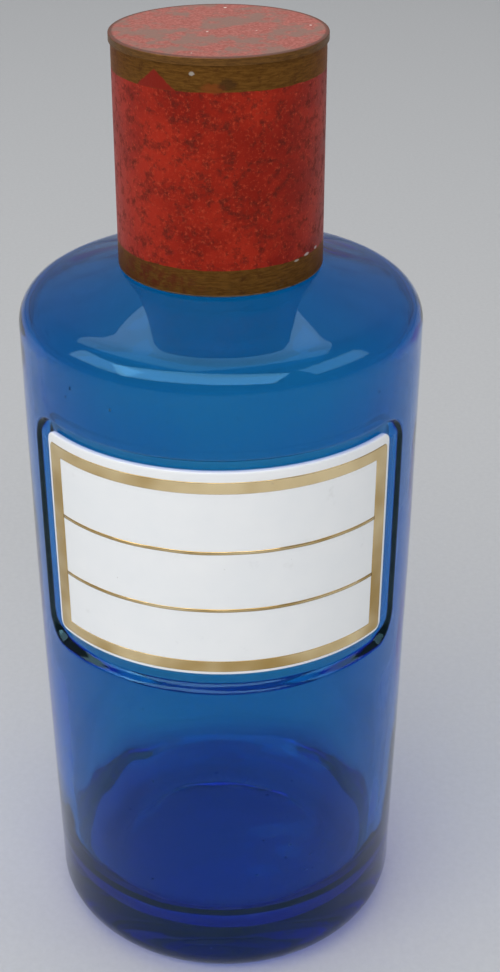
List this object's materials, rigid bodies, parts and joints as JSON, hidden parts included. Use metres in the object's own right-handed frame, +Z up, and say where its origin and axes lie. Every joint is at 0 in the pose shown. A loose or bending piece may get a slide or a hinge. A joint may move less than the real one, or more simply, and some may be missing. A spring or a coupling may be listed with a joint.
{
  "type": "apothecary jar",
  "caption": "Tall round glass apothecary bottle with a white and gold label plate in a pressed panel, a ground-glass stopper and a slip-over tin cap that hides the neck.",
  "frame": {"origin": "centre of the resting face, on the surface that the jar stands on", "axes": "+Z up along the jar's axis, -Y towards the front, where the label is, +X to the right of someone who faces the label"},
  "size_m": [0.1212, 0.121, 0.3],
  "materials": {
    "blue_glass": "fire-polished cobalt blue glass",
    "cement": "dull grey-brown setting cement",
    "white_enamel": "opaque white enamel, glazed",
    "gilding": "fired gold, burnished and worn",
    "cap_paint": "worn red paint with dull gold bands on tinplate",
    "cap_top_paint": "faded and rubbed red paint on tinplate"
  },
  "bodies": {
    "bottle": {"bottle": "blue_glass", "label_cement": "cement", "label_plate": "white_enamel", "label_gilding": "gilding"},
    "stopper": {"stopper": "blue_glass"},
    "cap": {"cap_wall": "cap_paint", "cap_top": "cap_top_paint"}
  },
  "joints": [
    {"name": "stopper_lift", "type": "slide", "parent": "bottle", "child": "stopper", "axis": [0, 0, 1], "range_m": [0, 0.045]},
    {"name": "cap_lift", "type": "slide", "parent": "stopper", "child": "cap", "axis": [0, 0, 1], "range_m": [0, 0.075]}
  ]
}
